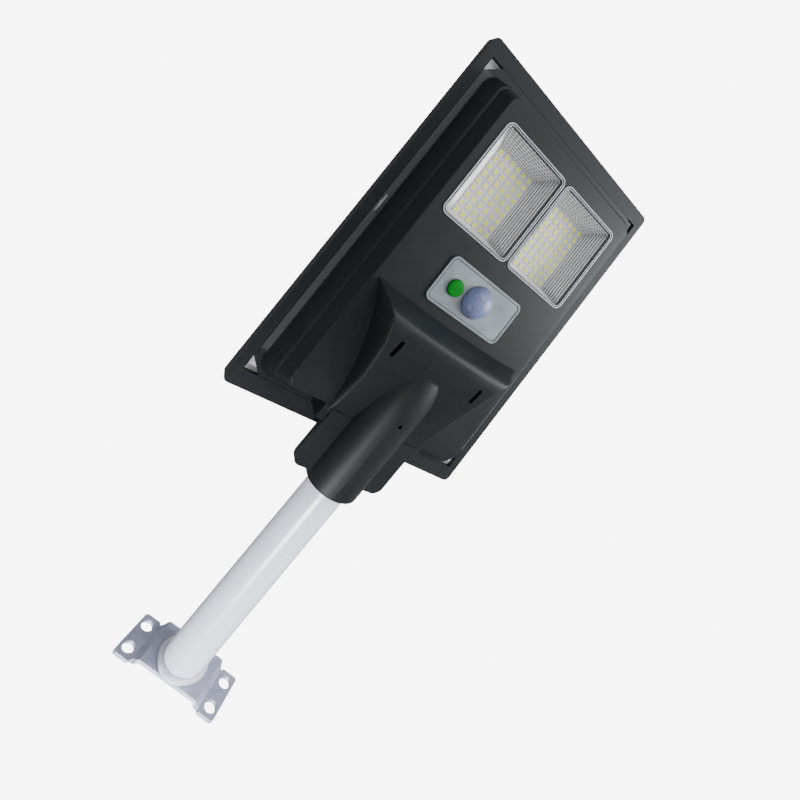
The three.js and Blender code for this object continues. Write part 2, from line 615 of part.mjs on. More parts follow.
const flangeTop = FACE_Z - WALL - GAP
const buttonProfile = [
  [0, switchTop + GAP + BUTTON.travel], [2, switchTop + GAP + BUTTON.travel], [2, flangeTop - 2.2],
  [8.8, flangeTop - 2.2], [8.8, flangeTop], [BUTTON.radius, flangeTop], [BUTTON.radius, plateTop + 1.2],
  [BUTTON.radius - 0.5, plateTop + 1.8], [BUTTON.radius - 1.6, plateTop + 2.1], [0, plateTop + 2.3]
]
const buttonSolid = toSolid(turned(buttonProfile, 32).rotateX(Math.PI / 2).translate(BUTTON.x, BUTTON.y, 0))
add(head, 'power_button', buttonSolid, 'green_button')

// ---------------------------------------------------------------- control board and battery
function controlBoard() {
  const low = BOARD_Z - BOARD.thick
  let solid = box(-BOARD.halfX, BOARD.halfX, BOARD.y0, BOARD.y1, low, BOARD_Z)
  const parts = [
    [20, 30, 146, 156, 4], [34, 42, 160, 172, 5], [-44, -36, 146, 158, 3], [14, 20, 168, 173, 3]
  ]
  for (const [x0, x1, y0, y1, height] of parts) solid = solid.add(box(x0, x1, y0, y1, low - height, low + 0.5))
  for (const { x, y } of BOARD_BOSSES) solid = solid.subtract(rodZ(x, y, BOSS.bore, -5, 19, 12))
  return solid
}
add(head, 'control_board', controlBoard(), 'circuit_green')
BOARD_BOSSES.forEach(({ x, y }, i) => {
  const screw = panHead(BOSS.screw, BOSS.head, BOSS.headHeight, 8)
  placeScrew(head, `board_screw_${i + 1}`, screw, x, y, BOARD_Z - BOARD.thick - GAP)
})

const CELL = { radius: 9, length: 65, z: 8.2, rows: [86, 106] }
const cellStart = 1.2
function cellRod(x0, x1, y, radius) {
  const geometry = new THREE.CylinderGeometry(radius, radius, x1 - x0, 24)
  return toSolid(geometry.rotateZ(Math.PI / 2).translate((x0 + x1) / 2, y, CELL.z))
}

let cradle = box(-69, 69, 75, 117, -1.6, CELL.z - 1)
let cellNumber = 1
for (const side of [-1, 1]) {
  for (const y of CELL.rows) {
    const ends = [side * cellStart, side * (cellStart + CELL.length)].sort((a, b) => a - b)
    cradle = cradle.subtract(cellRod(ends[0] - 0.5, ends[1] + 0.5, y, CELL.radius + GAP))
    add(head, `battery_cell_${cellNumber}`, cellRod(ends[0], ends[1], y, CELL.radius), 'cell_wrap')
    cellNumber += 1
  }
}
add(head, 'battery_cradle', cradle, 'black_plastic')

// ---------------------------------------------------------------- leads inside the head
function lead(name, finish, points) {
  const section = new THREE.Shape()
  const radius = 0.9
  const sides = 8
  for (let k = 0; k < sides; k++) {
    const angle = (k / sides) * Math.PI * 2
    const point = [radius * Math.cos(angle), radius * Math.sin(angle)]
    if (k === 0) section.moveTo(...point)
    else section.lineTo(...point)
  }
  section.closePath()
  const path = new THREE.CatmullRomCurve3(points.map((p) => new THREE.Vector3(...p)))
  const options = { steps: 4 * (points.length - 1), extrudePath: path, bevelEnabled: false }
  add(head, name, toSolid(new THREE.ExtrudeGeometry(section, options)), finish)
}

lead('panel_lead_red', 'red_wire', [[6, 188.5, -3.2], [10, 186, -0.5], [20, 183, 4], [24, 170, 6.6]])
lead('panel_lead_black', 'black_wire', [[-6, 188.5, -3.2], [-8, 186, -0.5], [-26, 183, 4], [-30, 172, 6.6]])
lead('battery_lead_red', 'red_wire', [[-60, 119, 6], [-58, 124, 5], [-52, 132, 5], [-47, 142, 6.6]])
lead('battery_lead_black', 'black_wire', [[60, 119, 6], [58, 124, 5], [50, 132, 5], [40, 150, 6.6]])
lead('led_lead_left', 'red_wire', [[-40, 195, 3.2], [-40, 190, 4], [-36, 186, 5], [-30, 182, 6]])
lead('led_lead_right', 'red_wire', [[40, 195, 3.2], [40, 190, 4], [44, 186, 5], [46, 182, 6]])

const junction = box(-14, 14, 190, 206, LEDGE_TOP, LEDGE_TOP + 2)
add(head, 'panel_junction', junction, 'rubber')

export default group
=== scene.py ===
import math
import bmesh
import bpy
from mathutils import Matrix, Vector


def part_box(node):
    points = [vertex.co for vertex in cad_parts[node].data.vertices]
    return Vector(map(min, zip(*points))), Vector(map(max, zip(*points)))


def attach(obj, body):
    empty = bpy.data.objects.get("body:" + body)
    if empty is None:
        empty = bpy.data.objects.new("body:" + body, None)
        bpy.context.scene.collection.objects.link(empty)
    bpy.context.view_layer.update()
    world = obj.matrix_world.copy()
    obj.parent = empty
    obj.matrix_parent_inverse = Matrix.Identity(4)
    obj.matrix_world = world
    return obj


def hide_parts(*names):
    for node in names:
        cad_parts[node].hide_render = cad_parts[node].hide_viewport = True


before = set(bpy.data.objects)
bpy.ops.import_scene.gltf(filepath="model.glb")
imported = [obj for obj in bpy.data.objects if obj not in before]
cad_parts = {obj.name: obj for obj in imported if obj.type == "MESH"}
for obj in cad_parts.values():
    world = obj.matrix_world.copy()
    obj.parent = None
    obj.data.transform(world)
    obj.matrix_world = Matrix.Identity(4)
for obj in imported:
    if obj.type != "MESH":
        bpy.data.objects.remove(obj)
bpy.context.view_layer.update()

# ---------------------------------------------------------------- camera
# The lamp is seen from below the middle of its head and a little to one side. The lens is wide, and its
# shift sets where the lamp sits in the picture.
camera_data = bpy.data.cameras.new("camera")
camera_data.sensor_width = 36
camera_data.lens = 21.99
camera_data.shift_x = -0.1194
camera_data.shift_y = -0.1519
camera_data.clip_start = 0.01
camera = bpy.data.objects.new("camera", camera_data)
bpy.context.scene.collection.objects.link(camera)
looks = Vector((0.53535, -0.00135, 0.84463)).normalized()
upward = Vector((-0.54042, -0.76907, 0.34131))
across = looks.cross(upward).normalized()
upward = across.cross(looks).normalized()
turn = Matrix((across, upward, -looks)).transposed().to_4x4()
camera.matrix_world = Matrix.Translation((-0.21736, -0.41301, -0.33805)) @ turn
bpy.context.scene.camera = camera

# ---------------------------------------------------------------- foot plate
# Pressed sheet steel with two feet on the wall, four bolt holes and a raised middle that carries the
# tube. It is zinc plated, so it has a faint bluish bloom and fine rolling lines.


def keep(mesh, name, body, nodes, matrix=None, finishes=()):
    """Make an object of a mesh, in its place, riding on its body in place of its CAD nodes."""
    if matrix is not None:
        mesh.transform(matrix)
    piece = bpy.data.objects.new(name, mesh)
    bpy.context.scene.collection.objects.link(piece)
    for finish_ in finishes:
        mesh.materials.append(finish_)
    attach(piece, body)
    if nodes:
        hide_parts(*nodes)
    return piece


def smooth(mesh, degrees=32):
    for face in mesh.polygons:
        face.use_smooth = True
    mesh.set_sharp_from_angle(angle=math.radians(degrees))


def mesh_of(form, name, degrees=None):
    mesh = bpy.data.meshes.new(name)
    form.to_mesh(mesh)
    form.free()
    if degrees is not None:
        smooth(mesh, degrees)
    return mesh


def bridge(form, here, there):
    """Join two rings of as many points with a band of faces."""
    band = []
    for a in range(len(here)):
        b = (a + 1) % len(here)
        band.append(form.faces.new((here[a], here[b], there[b], there[a])))
    return band


# One wire of a shader's node tree. Arithmetic on wires adds Math nodes, node() any other node.
class Wire:
    def __init__(self, tree, socket=None):
        self.tree = tree
        self.socket = socket

    def node(self, kind, settings=None, values=None, output=0):
        made = self.tree.nodes.new(kind)
        for key, value in (settings or {}).items():
            setattr(made, key, value)
        for key, value in (values or {}).items():
            if isinstance(value, Wire):
                self.tree.links.new(value.socket, made.inputs[key])
            else:
                made.inputs[key].default_value = value
        return Wire(self.tree, made.outputs[output])

    def maths(self, operation, *terms):
        return self.node("ShaderNodeMath", {"operation": operation}, dict(enumerate(terms)))

    def __add__(self, other):
        return self.maths("ADD", self, other)

    def __radd__(self, other):
        return self.maths("ADD", other, self)

    def __sub__(self, other):
        return self.maths("SUBTRACT", self, other)

    def __rsub__(self, other):
        return self.maths("SUBTRACT", other, self)

    def __mul__(self, other):
        return self.maths("MULTIPLY", self, other)

    def __rmul__(self, other):
        return self.maths("MULTIPLY", other, self)

    def clamp(self):
        return self.maths("MINIMUM", self.maths("MAXIMUM", self, 0.0), 1.0)

    def tint(self, low, high):
        return self.over((*low, 1), (*high, 1))

    def over(self, low, high):
        values = {"Factor": self.clamp(), "A": low, "B": high}
        return self.node("ShaderNodeMix", {"data_type": "RGBA"}, values, output=2)


def place_of(wire):
    return wire.node("ShaderNodeTexCoord", output=3)


def noise(wire, scale, detail=4.0, roughness=0.6, place=None):
    values = {"Vector": place or place_of(wire), "Scale": scale, "Detail": detail, "Roughness": roughness}
    return wire.node("ShaderNodeTexNoise", {"noise_dimensions": "3D"}, values)


def colour(code):
    channels = [int(code[i:i + 2], 16) / 255 for i in (1, 3, 5)]
    return tuple(c / 12.92 if c < 0.04045 else ((c + 0.055) / 1.055) ** 2.4 for c in channels)


def finish(name, shade, **constants):
    """A principled material. shade(wire) returns the sockets that change over the surface, and a bump."""
    material = bpy.data.materials.new(name)
    material.use_nodes = True
    tree = material.node_tree
    tree.nodes.clear()
    output = tree.nodes.new("ShaderNodeOutputMaterial")
    surface = tree.nodes.new("ShaderNodeBsdfPrincipled")
    tree.links.new(surface.outputs[0], output.inputs[0])
    for key, value in constants.items():
        surface.inputs[key.replace("_", " ")].default_value = value
    varying = shade(Wire(tree))
    bump = varying.pop("bump", None)
    for key, value in varying.items():
        tree.links.new(value.socket, surface.inputs[key])
    if bump:
        height, distance, strength = bump
        values = {"Height": height, "Distance": distance, "Strength": strength}
        normal = height.node("ShaderNodeBump", None, values)
        tree.links.new(normal.socket, surface.inputs["Normal"])
    return material


def zinc(wire):
    place = place_of(wire)
    stretch = wire.node("ShaderNodeMapping", None, {"Vector": place, "Scale": (1.0, 1.0, 14.0)})
    bloom = noise(wire, 70.0, 6.0)
    lines = noise(wire, 220.0, 3.0, place=stretch)
    crystals = wire.node("ShaderNodeTexVoronoi", None, {"Vector": place, "Scale": 260.0})
    return {
        "Base Color": (bloom * 1.5 - 0.25 + lines * 0.2).tint(colour("#8d92ae"), colour("#c0c4da")),
        "Roughness": bloom * 0.2 + 0.3 + crystals * 0.1,
        "bump": (lines * 0.5 + crystals * 0.5, 0.00008, 0.5),
    }


zinc_plate = finish("zinc_plate", zinc, Metallic=0.35)


def refined(node, name, body, material, bevel=0.0004, degrees=32, clean=0.6):
    """A fine copy of a CAD node: doubles merged, flat faces joined, edges rounded over."""
    mesh = bpy.data.objects[node].data.copy()
    mesh.materials.clear()
    form = bmesh.new()
    form.from_mesh(mesh)
    bmesh.ops.remove_doubles(form, verts=form.verts, dist=2e-6)
    bmesh.ops.dissolve_limit(form, angle_limit=math.radians(clean), verts=form.verts, edges=form.edges)
    form.to_mesh(mesh)
    form.free()
    mesh.name = name
    smooth(mesh, degrees)
    piece = keep(mesh, name, body, [node], finishes=[material])
    if bevel:
        rounding = piece.modifiers.new("rounding", "BEVEL")
        rounding.width = bevel
        rounding.segments = 2
        rounding.limit_method = "ANGLE"
        rounding.angle_limit = math.radians(38)
        rounding.harden_normals = True
        rounding.use_clamp_overlap = True
    flats = piece.modifiers.new("flats", "WEIGHTED_NORMAL")
    flats.mode = "FACE_AREA"
    flats.weight = 100
    flats.keep_sharp = True
    return piece


foot = refined("foot_plate", "foot_pressing", "root_arm", zinc_plate, bevel=0.0005)

# ---------------------------------------------------------------- tube
# A straight round steel tube, powder coated light grey, with the faint orange peel of the coat. It
# is welded to the foot plate at one end and held in the head's sleeve at the other.
def powder_coat(wire):
    peel = noise(wire, 900.0, 2.0)
    cloud = noise(wire, 18.0, 4.0)
    scuffs = noise(wire, 140.0, 6.0, 0.75)
    worn = (scuffs - 0.66) * 8.0
    return {
        "Base Color": (cloud * 0.9 + worn.clamp() * 0.4).tint(colour("#dcdff4"), colour("#f2f4ff")),
        "Roughness": cloud * 0.1 + 0.24 + worn.clamp() * 0.15,
        "bump": (peel + scuffs * 0.4, 0.00002, 0.4),
    }


light_coat = finish("light_grey_coat", powder_coat, Metallic=0.0, Coat_Weight=0.35, Coat_Roughness=0.12)
low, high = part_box("arm_tube")
tube_radius = (high[0] - low[0]) / 2
tube_wall = 0.0016
sides = 128
form = bmesh.new()
stations = [
    (tube_radius - tube_wall, low[1] + 0.0006), (tube_radius - tube_wall + 0.0005, low[1]),
    (tube_radius - 0.0004, low[1]), (tube_radius, low[1] + 0.0004),
    (tube_radius, (low[1] + high[1]) / 2), (tube_radius, high[1]),
    (tube_radius - tube_wall, high[1]), (tube_radius - tube_wall, (low[1] + high[1]) / 2),
]
rings = []
for radius, y in stations:
    ring = []
    for k in range(sides):
        angle = 2 * math.pi * k / sides
        ring.append(form.verts.new((radius * math.cos(angle), y, radius * math.sin(angle))))
    rings.append(ring)
for k in range(len(rings)):
    bridge(form, rings[k], rings[(k + 1) % len(rings)])
bmesh.ops.recalc_face_normals(form, faces=form.faces)
mesh = mesh_of(form, "tube", 40)
tube = keep(mesh, "tube", "root_arm", ["arm_tube"], finishes=[light_coat])

# ---------------------------------------------------------------- weld
# The fillet weld between tube and foot plate, laid in overlapping ripples and then coated with the
# tube, so the ripples are nearly filled.
low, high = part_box("weld_bead")
bead_inner = tube_radius + 0.0002
bead_width = (high[0] - low[0]) / 2 - bead_inner
ripples = 54
steps = 432
form = bmesh.new()
rings = []
for k in range(steps):
    angle = 2 * math.pi * k / steps
    phase = (k * ripples / steps) % 1.0
    swell = 0.95 + 0.05 * math.sqrt(max(0.0, 1 - (2 * phase - 1) ** 2))
    swell *= 0.97 + 0.03 * math.sin(angle * 7 + 1.0)
    ring = []
    for across_, along in ((0, 0), (0, 1), (0.35, 0.92), (0.66, 0.7), (0.88, 0.4), (1, 0.05), (0.98, 0)):
        radius = bead_inner + bead_width * across_ * swell
        y = high[1] + (low[1] - high[1]) * along * swell
        ring.append(form.verts.new((radius * math.cos(angle), y, radius * math.sin(angle))))
    rings.append(ring)
for k in range(steps):
    bridge(form, rings[k], rings[(k + 1) % steps])
bmesh.ops.recalc_face_normals(form, faces=form.faces)
mesh = mesh_of(form, "weld", 50)
weld = keep(mesh, "weld", "root_arm", ["weld_bead"], finishes=[light_coat])

# ---------------------------------------------------------------- upper frame
# The black moulded frame that carries the solar panel on its back, with the upper half of the sleeve
# that clamps the tube. It has the fine spark grain of an injection mould.


def grained(dark, light, grain, depth, rough_low, rough_high, mottle=30.0):
    """Colour that drifts between two shades over a fine moulded grain."""
    def shade(wire):
        cloud = noise(wire, mottle, 5.0)
        fine = noise(wire, grain, 3.0)
        return {
            "Base Color": (cloud * 1.6 - 0.3).tint(dark, light),
            "Roughness": cloud * (rough_high - rough_low) + rough_low + fine * 0.05,
            "bump": (fine + cloud * 0.2, depth, 0.7),
        }
    return shade


black_plastic = finish(
    "black_moulding",
    grained(colour("#0d1215"), colour("#161c20"), 1500.0, 0.00004, 0.48, 0.62),
    Metallic=0.0, Specular_IOR_Level=0.32,
)
upper = refined("top_frame", "upper_frame", "head", black_plastic, bevel=0.0006)

# ---------------------------------------------------------------- solar panel
# Tempered glass over dark blue silicon cells. Each cell is a dark tile with fine silver fingers and
# two wider busbars, and the white backsheet shows as thin lines between the cells.
LEAN = math.radians(3.4)  # the head leans up from its tube by this


def cells(wire):
    place = wire.node("ShaderNodeMapping", None, {
        "Vector": place_of(wire), "Rotation": (LEAN, 0.0, 0.0), "Location": (0.1124, 0.5502, 0.0),
    })
    parts = wire.node("ShaderNodeSeparateXYZ", None, {0: place})
    x = parts
    y = Wire(wire.tree, parts.socket.node.outputs[1])
    wide, long_ = 0.0562, 0.0354

    def band(value, pitch, width, shift=0.0):
        phase = wire.maths("FRACT", (value + shift) * (1 / pitch))
        off_centre = wire.maths("ABSOLUTE", phase - 0.5) * pitch
        return wire.maths("LESS_THAN", off_centre, width / 2)

    gaps = wire.maths("MAXIMUM", band(x, wide, 0.0011, wide / 2), band(y, long_, 0.0011, long_ / 2))
    fingers = band(y, long_ / 20, 0.00016)
    bars = band(x, wide / 3, 0.0009, wide / 6)
    silver = wire.maths("MAXIMUM", fingers * 0.4, bars)
    cloud = noise(wire, 25.0, 3.0)
    silicon = cloud.tint(colour("#0b1330"), colour("#16224a"))
    wired = silver.over(silicon, (*colour("#98a2b4"), 1))
    return {
        "Base Color": gaps.over(wired, (*colour("#d4d8dc"), 1)),
        "Roughness": cloud * 0.04 + 0.06,
        "bump": (noise(wire, 400.0, 2.0), 0.00002, 0.25),
    }


cell_glass = finish("cell_glass", cells, Metallic=0.0, Coat_Weight=1.0, Coat_Roughness=0.04)
panel = refined("solar_glass", "solar_panel", "head", cell_glass, bevel=0.0006)

backsheet = finish(
    "white_backsheet",
    grained(colour("#dfe2e4"), colour("#f3f4f5"), 600.0, 0.00004, 0.4, 0.55),
)
bpy.data.objects["solar_backsheet"].data.materials.clear()
bpy.data.objects["solar_backsheet"].data.materials.append(backsheet)

# ---------------------------------------------------------------- lower shell
# The black moulded body with its two slanted steps, the windows, and the hump and sleeve over the tube.
# The flange along its two long sides keeps the coarse, paler spark grain of the mould's parting face.
# The head's own millimetres run x across, y from the arm end to the far end and z out of the lit face.
TUBE_HEIGHT = 20.6
ARM_REACH = 230.0
to_frame = (
    Matrix.Scale(0.001, 4)
    @ Matrix.Translation((0, -ARM_REACH, 0))
    @ Matrix.Rotation(math.pi - LEAN, 4, "X")
    @ Matrix.Translation((0, 0, -TUBE_HEIGHT))
)


def shell_grain(wire):
    place = place_of(wire)
    parts = wire.node("ShaderNodeSeparateXYZ", None, {0: place})
    y = Wire(wire.tree, parts.socket.node.outputs[1])
    z = Wire(wire.tree, parts.socket.node.outputs[2])
    origin = to_frame.translation
    outward = Vector((0, -math.sin(LEAN), -math.cos(LEAN)))
    level = y * outward.y + z * outward.z - origin.dot(outward)
    sides_only = ((y + 0.535) * 400.0).clamp() * ((-0.262 - y) * 400.0).clamp()
    strip = ((0.0012 - level) * 1500.0).clamp() * sides_only
    cloud = noise(wire, 30.0, 5.0)
    fine = noise(wire, 1500.0, 3.0)
    speckle = noise(wire, 2600.0, 2.0)
    body = (cloud * 1.6 - 0.3).tint(colour("#0d1215"), colour("#161c20"))
    pale = (speckle * 1.8 - 0.4).tint(colour("#303335"), colour("#505355"))
    return {
        "Base Color": strip.over(body, pale),
        "Roughness": cloud * 0.14 + 0.42 + strip * 0.1,
        "bump": (fine + cloud * 0.2, 0.00004, 0.7),
    }


shell_plastic = finish("black_moulding_shell", shell_grain, Specular_IOR_Level=0.32)
shell = refined("lower_shell", "shell", "head", shell_plastic, bevel=0.0005)

# ---------------------------------------------------------------- reflectors
# Each LED window has a metallised tray. The walls at its sides are ribbed along their length, and the
# walls at its ends are ribbed and cut across, so they sparkle in small facets. The grooves between the
# ribs are painted near black as painted shade, broken into short dashes on the end walls.
def mirror_and_groove_shade(wire):
    groove_shade = wire.node("ShaderNodeAttribute", {"attribute_name": "groove_shade"}, output=2)
    haze = noise(wire, 300.0, 4.0)
    return {
        # painted shade: the colour goes near black where the groove value is high, in the troughs between
        # ribs
        "Base Color": (groove_shade * 2.6 - 0.5).tint(colour("#f4f5f8"), colour("#050607")),
        "Roughness": haze * 0.12 + 0.34,
        "bump": (haze, 0.00003, 0.4),
    }


tray_finish_and_shade = finish("metallised_tray_painted_shade", mirror_and_groove_shade, Metallic=0.15, Specular_IOR_Level=0.3)
BOARD = {"x": 38.4, "y": 237.5, "half_x": 23.0, "half_y": 33.0, "z": 4.35}
MOUTH = {"x": 38.3, "y": 241.3, "half_x": 34.7, "half_y": 41.6, "z": 21.0}


def tray(side):
    form = bmesh.new()
    # painted shade: this layer holds how dark each point of the walls is painted
    groove_shade = form.verts.layers.float.new("groove_shade")

    def corners(end):
        x, y, a, b = side * end["x"], end["y"], end["half_x"], end["half_y"]
        return [Vector((x + i * a, y + j * b, end["z"])) for i, j in ((-1, -1), (1, -1), (1, 1), (-1, 1))]

    bottom, top = corners(BOARD), corners(MOUTH)
    for k in range(4):
        a, b, c, d = bottom[k], bottom[(k + 1) % 4], top[(k + 1) % 4], top[k]
        inward = (b - a).cross(d - a).normalized()
        if inward.dot(Vector((side * 38, 240, 12)) - (a + c) / 2) < 0:
            inward = -inward
        cut_across = k in (0, 2)
        ribs, cuts = (9, 15) if cut_across else (8, 0)
        columns, rows = (cuts * 6, ribs * 8) if cut_across else (8, ribs * 8)
        grid = []
        for j in range(rows + 1):
            v = j / rows
            line = []
            for i in range(columns + 1):
                u = i / columns
                rib = abs(math.sin(math.pi * ribs * v))
                height = 0.9 * rib
                # painted shade: dark is highest in the troughs between ribs and, on the end walls, is cut
                # into dashes
                dark = 1 - rib
                if cut_across:
                    cut = abs(math.sin(math.pi * cuts * u))
                    height = 0.6 * rib * (0.5 + 0.5 * cut) + 0.2 * cut
                    dark *= min(1.0, 2.2 * cut)
                edge = min(1.0, 12 * min(u, 1 - u)) if cut_across else 1.0
                point = (a.lerp(b, u)).lerp(d.lerp(c, u), v) + inward * height * edge
                vertex = form.verts.new(point)
                vertex[groove_shade] = dark
                line.append(vertex)
            grid.append(line)
        wall = []
        for near, far in zip(grid, grid[1:]):
            for i in range(columns):
                wall.append(form.faces.new((near[i], near[i + 1], far[i + 1], far[i])))
        form.normal_update()
        for face in wall:
            if face.normal.dot(inward) < 0:
                face.normal_flip()
    return mesh_of(form, "tray", 60)


for side, word in ((-1, "left"), (1, "right")):
    piece = keep(tray(side), "tray_" + word, "head", ["reflector_" + word], to_frame, [tray_finish_and_shade])
    wall = piece.modifiers.new("wall", "SOLIDIFY")
    wall.thickness = 0.0007
    wall.offset = -1

# ---------------------------------------------------------------- LED boards
# White circuit boards with rows of surface-mounted LEDs: a white body with a round-cornered window of
# pale yellow phosphor, which carries a faint painted glow. The packages are laid out by a node tree and
# made one mesh with real copies.
board_white = finish(
    "white_solder_mask",
    grained(colour("#c6c6d6"), colour("#eaeaf2"), 500.0, 0.00005, 0.35, 0.5),
)
led_body = finish("led_body", grained(colour("#e9ebe6"), colour("#fbfbf6"), 800.0, 0.00003, 0.3, 0.4))
phosphor_with_painted_glow = finish(
    "phosphor_with_painted_glow",
    grained(colour("#dfe13c"), colour("#f0f06c"), 2500.0, 0.00006, 0.35, 0.5, 120.0),
    # painted glow: a faint yellow emission lifts the phosphor
    Emission_Color=(*colour("#eef060"), 1), Emission_Strength=0.15,
)


def grown(name, tree, inputs):
    """Evaluate a geometry node tree with its inputs set, and give back its plain mesh."""
    holder = bpy.data.objects.new(name, bpy.data.meshes.new(name))
    bpy.context.scene.collection.objects.link(holder)
    growth = holder.modifiers.new("growth", "NODES")
    growth.node_group = tree
    for item in tree.interface.items_tree:
        if item.item_type == "SOCKET" and item.in_out == "INPUT" and item.name in inputs:
            growth[item.identifier] = inputs[item.name]
    evaluated = holder.evaluated_get(bpy.context.evaluated_depsgraph_get())
    mesh = bpy.data.meshes.new_from_object(evaluated)
    bpy.data.objects.remove(holder)
    return mesh


def tree_with(name, sizes):
    tree = bpy.data.node_groups.new(name, "GeometryNodeTree")
    tree.interface.new_socket("Geometry", in_out="OUTPUT", socket_type="NodeSocketGeometry")
    for label, (kind, value) in sizes.items():
        socket = tree.interface.new_socket(label, in_out="INPUT", socket_type="NodeSocket" + kind)
        socket.default_value = value
    return tree, tree.nodes.new("NodeGroupInput"), tree.nodes.new("NodeGroupOutput")


def add_node(tree, kind, settings=None, **links):
    made = tree.nodes.new(kind)
    for key, value in (settings or {}).items():
        setattr(made, key, value)
    for key, value in links.items():
        numbered = key[0] == "i" and key[1:].isdigit()
        socket = made.inputs[int(key[1:]) if numbered else key.replace("_", " ")]
        if isinstance(value, bpy.types.NodeSocket):
            tree.links.new(value, socket)
        else:
            socket.default_value = value
    return made


def led_field():
    tree, given, result = tree_with("led_field", {
        "Columns": ("Int", 6), "Rows": ("Int", 9), "Pitch": ("Float", 7.4),
        "Body": ("Vector", (4.3, 4.9, 0.75)), "Window": ("Vector", (3.6, 4.2, 0.2)), "Lift": ("Float", 0.4),
    })
    out = given.outputs

    def maths(operation, a, b):
        return add_node(tree, "ShaderNodeMath", {"operation": operation}, i0=a, i1=b).outputs[0]

    wide = maths("MULTIPLY", maths("SUBTRACT", out["Columns"], 1.0), out["Pitch"])
    tall = maths("MULTIPLY", maths("SUBTRACT", out["Rows"], 1.0), out["Pitch"])
    grid = add_node(tree, "GeometryNodeMeshGrid", None, Size_X=wide, Size_Y=tall,
                    Vertices_X=out["Columns"], Vertices_Y=out["Rows"])
    body = add_node(tree, "GeometryNodeMeshCube", None, Size=out["Body"])
    body_set = add_node(tree, "GeometryNodeSetMaterial", None, Geometry=body.outputs[0], Material=led_body)
    window = add_node(tree, "GeometryNodeMeshCube", None, Size=out["Window"])
    lift = add_node(tree, "ShaderNodeCombineXYZ", None, Z=out["Lift"])
    raised = add_node(tree, "GeometryNodeTransform", None,
                      Geometry=window.outputs[0], Translation=lift.outputs[0])
    window_set = add_node(tree, "GeometryNodeSetMaterial", None,
                          Geometry=raised.outputs[0], Material=phosphor_with_painted_glow)
    package = tree.nodes.new("GeometryNodeJoinGeometry")
    tree.links.new(body_set.outputs[0], package.inputs[0])
    tree.links.new(window_set.outputs[0], package.inputs[0])
    spread = add_node(tree, "GeometryNodeInstanceOnPoints", None,
                      Points=grid.outputs[0], Instance=package.outputs[0])
    real = add_node(tree, "GeometryNodeRealizeInstances", None, Geometry=spread.outputs[0])
    tree.links.new(real.outputs[0], result.inputs[0])
    return tree


field_tree = led_field()
for side, word in ((-1, "left"), (1, "right")):
    form = bmesh.new()
    bmesh.ops.create_cube(form, size=1.0)
    place = Matrix.Translation((side * BOARD["x"], BOARD["y"], 3.2))
    form.transform(place @ Matrix.Diagonal((57.6, 75.6, 1.6, 1)))
    bmesh.ops.bevel(form, geom=form.edges, offset=0.25, segments=2, affect="EDGES")
    mesh = mesh_of(form, "board")
    board = keep(mesh, "board_" + word, "head", [], to_frame, [board_white])
    mesh = grown("leds_" + word, field_tree, {"Columns": 6, "Rows": 9, "Pitch": 7.4})
    place = to_frame @ Matrix.Translation((side * BOARD["x"], BOARD["y"], 4.38))
    leds = keep(mesh, "leds_" + word, "head", ["led_board_" + word], place)

# ---------------------------------------------------------------- window lenses
# Clear moulded covers, glued into openings of the shell's face. Each has a raised bright bead with a
# dark groove all round, and a flat pane.
def pane_shade(wire):
    haze = noise(wire, 120.0, 3.0)
    return {"Alpha": haze * 0.03 + 0.035, "Roughness": haze * 0.05 + 0.03}


pane = finish("clear_pane", pane_shade, Base_Color=(0.7, 0.74, 0.78, 1), Metallic=0.0)
bead_finish = finish(
    "bright_bead",
    grained(colour("#aeb6be"), colour("#dde3e8"), 700.0, 0.00002, 0.34, 0.46),
    Metallic=0.2,
)
groove_dark = finish("bead_groove", grained(colour("#0d0f10"), colour("#1a1d1f"), 700.0, 0.00003, 0.3, 0.5))
WINDOW = {"x": 38.3, "y": 241.3, "half_x": 37.4, "half_y": 44.3, "radius": 6.5}


def rounded_loop(half_x, half_y, radius, steps=10):
    points = []
    for k, (sx, sy) in enumerate(((1, 1), (-1, 1), (-1, -1), (1, -1))):
        for i in range(steps + 1):
            angle = (k + i / steps) * math.pi / 2
            points.append((sx * (half_x - radius) + radius * math.cos(angle),
                           sy * (half_y - radius) + radius * math.sin(angle)))
    return points


def framed_cover(half_x, half_y, radius, profile):
    """A cover: its rim follows profile (inset from the outline, height, finish), and a pane fills it."""
    form = bmesh.new()
    rings = []
    for inset, z, _ in profile:
        ring = rounded_loop(half_x - inset, half_y - inset, max(radius - inset, 0.6))
        rings.append([form.verts.new((x, y, z)) for x, y in ring])
    for here, there, (_, _, coat) in zip(rings, rings[1:], profile):
        for face in bridge(form, here, there):
            face.material_index = coat
    form.faces.new(rings[-1]).material_index = 1
    form.faces.new(list(reversed(rings[0]))).material_index = 1
    return mesh_of(form, "cover", 35)


lens_profile = [
    (0.0, 22.7, 0), (0.0, 24.4, 0), (0.3, 24.8, 0), (0.8, 24.85, 0), (1.1, 24.6, 2), (1.25, 24.0, 2),
    (1.9, 24.0, 2), (2.05, 24.45, 0), (2.35, 24.55, 0), (2.65, 24.4, 2), (2.8, 23.9, 2), (3.1, 23.9, 1),
]
for side, word in ((-1, "left"), (1, "right")):
    cover = framed_cover(WINDOW["half_x"], WINDOW["half_y"], WINDOW["radius"], lens_profile)
    place = to_frame @ Matrix.Translation((side * WINDOW["x"], WINDOW["y"], 0))
    lens = keep(cover, "cover_" + word, "head", ["lens_" + word], place, [bead_finish, pane, groove_dark])

